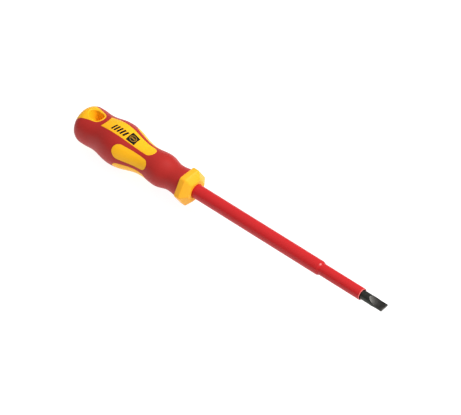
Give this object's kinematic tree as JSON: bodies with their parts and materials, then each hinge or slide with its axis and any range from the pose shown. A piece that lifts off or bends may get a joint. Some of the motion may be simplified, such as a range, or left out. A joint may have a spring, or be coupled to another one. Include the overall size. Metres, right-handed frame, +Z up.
{
  "type": "insulated screwdriver",
  "caption": "Slotted screwdriver with an insulated stepped shank, a hexagonal anti-roll guard and a two-colour soft handle with a hanging eye.",
  "frame": {"origin": "centre of the end face of the blade's tip, on the shaft axis", "axes": "+X out of the tip along the shaft, so the handle lies towards -X; +Z up through a guard flat and along the hang hole; Y across the blade's width"},
  "size_m": [0.249, 0.0296, 0.0296],
  "materials": {
    "black_oxide_steel": "black oxide, satin",
    "insulation": "satin insulation",
    "hard_yellow": "semi-gloss moulded",
    "hard_core": "moulded, covered",
    "soft_red": "soft-touch matte"
  },
  "bodies": {
    "root": {"blade": "black_oxide_steel", "inner_sleeve": "insulation", "outer_sleeve": "insulation", "hex_guard": "hard_yellow", "handle_core": "hard_core", "hanging_eye": "hard_yellow", "top_window": "hard_yellow", "bottom_window": "hard_yellow", "left_upper_window": "hard_yellow", "left_lower_window": "hard_yellow", "right_lower_window": "hard_yellow", "right_upper_window": "hard_yellow", "soft_grip": "soft_red"}
  },
  "joints": []
}
